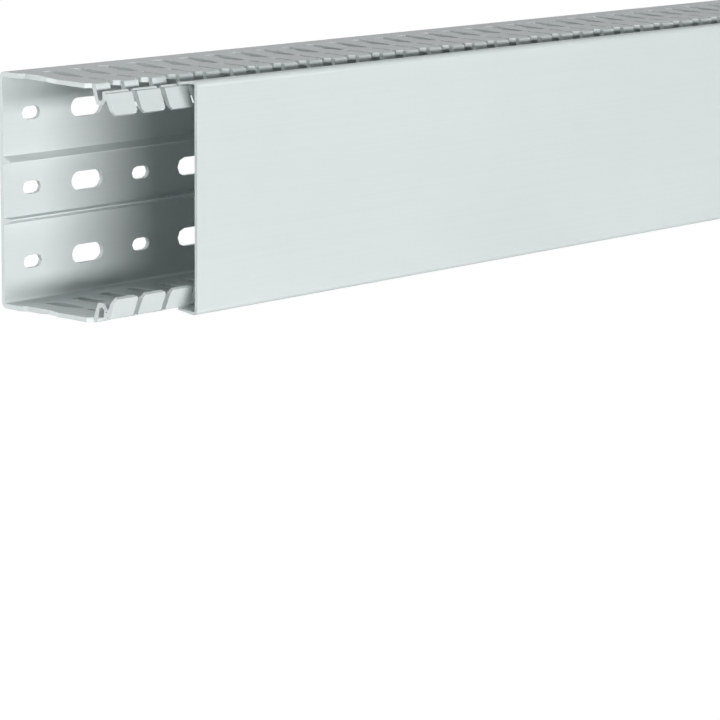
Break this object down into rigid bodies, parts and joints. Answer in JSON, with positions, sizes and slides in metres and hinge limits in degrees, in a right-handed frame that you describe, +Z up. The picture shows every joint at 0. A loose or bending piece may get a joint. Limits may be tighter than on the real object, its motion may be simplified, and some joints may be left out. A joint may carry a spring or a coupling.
{
  "type": "slotted wire duct",
  "caption": "Slotted wiring duct: open-slot U channel with a perforated mounting floor and a clip-on flat cover that slides along it.",
  "frame": {"origin": "bottom centre of the box around the channel and the cover, on the surface that the duct lies on", "axes": "+X along the duct, +Y out of the back of the perforated floor, -Y out of the cover, +Z up across the duct's width"},
  "size_m": [0.532, 0.06, 0.079],
  "materials": {
    "channel_pvc": "satin",
    "cover_pvc": "satin"
  },
  "bodies": {
    "channel": {"slotted_base": "channel_pvc"},
    "cover": {"snap_cover": "cover_pvc"}
  },
  "joints": [
    {"name": "cover_slide", "type": "slide", "parent": "channel", "child": "cover", "axis": [1, 0, 0], "range_m": [-0.032, 0.2]}
  ]
}
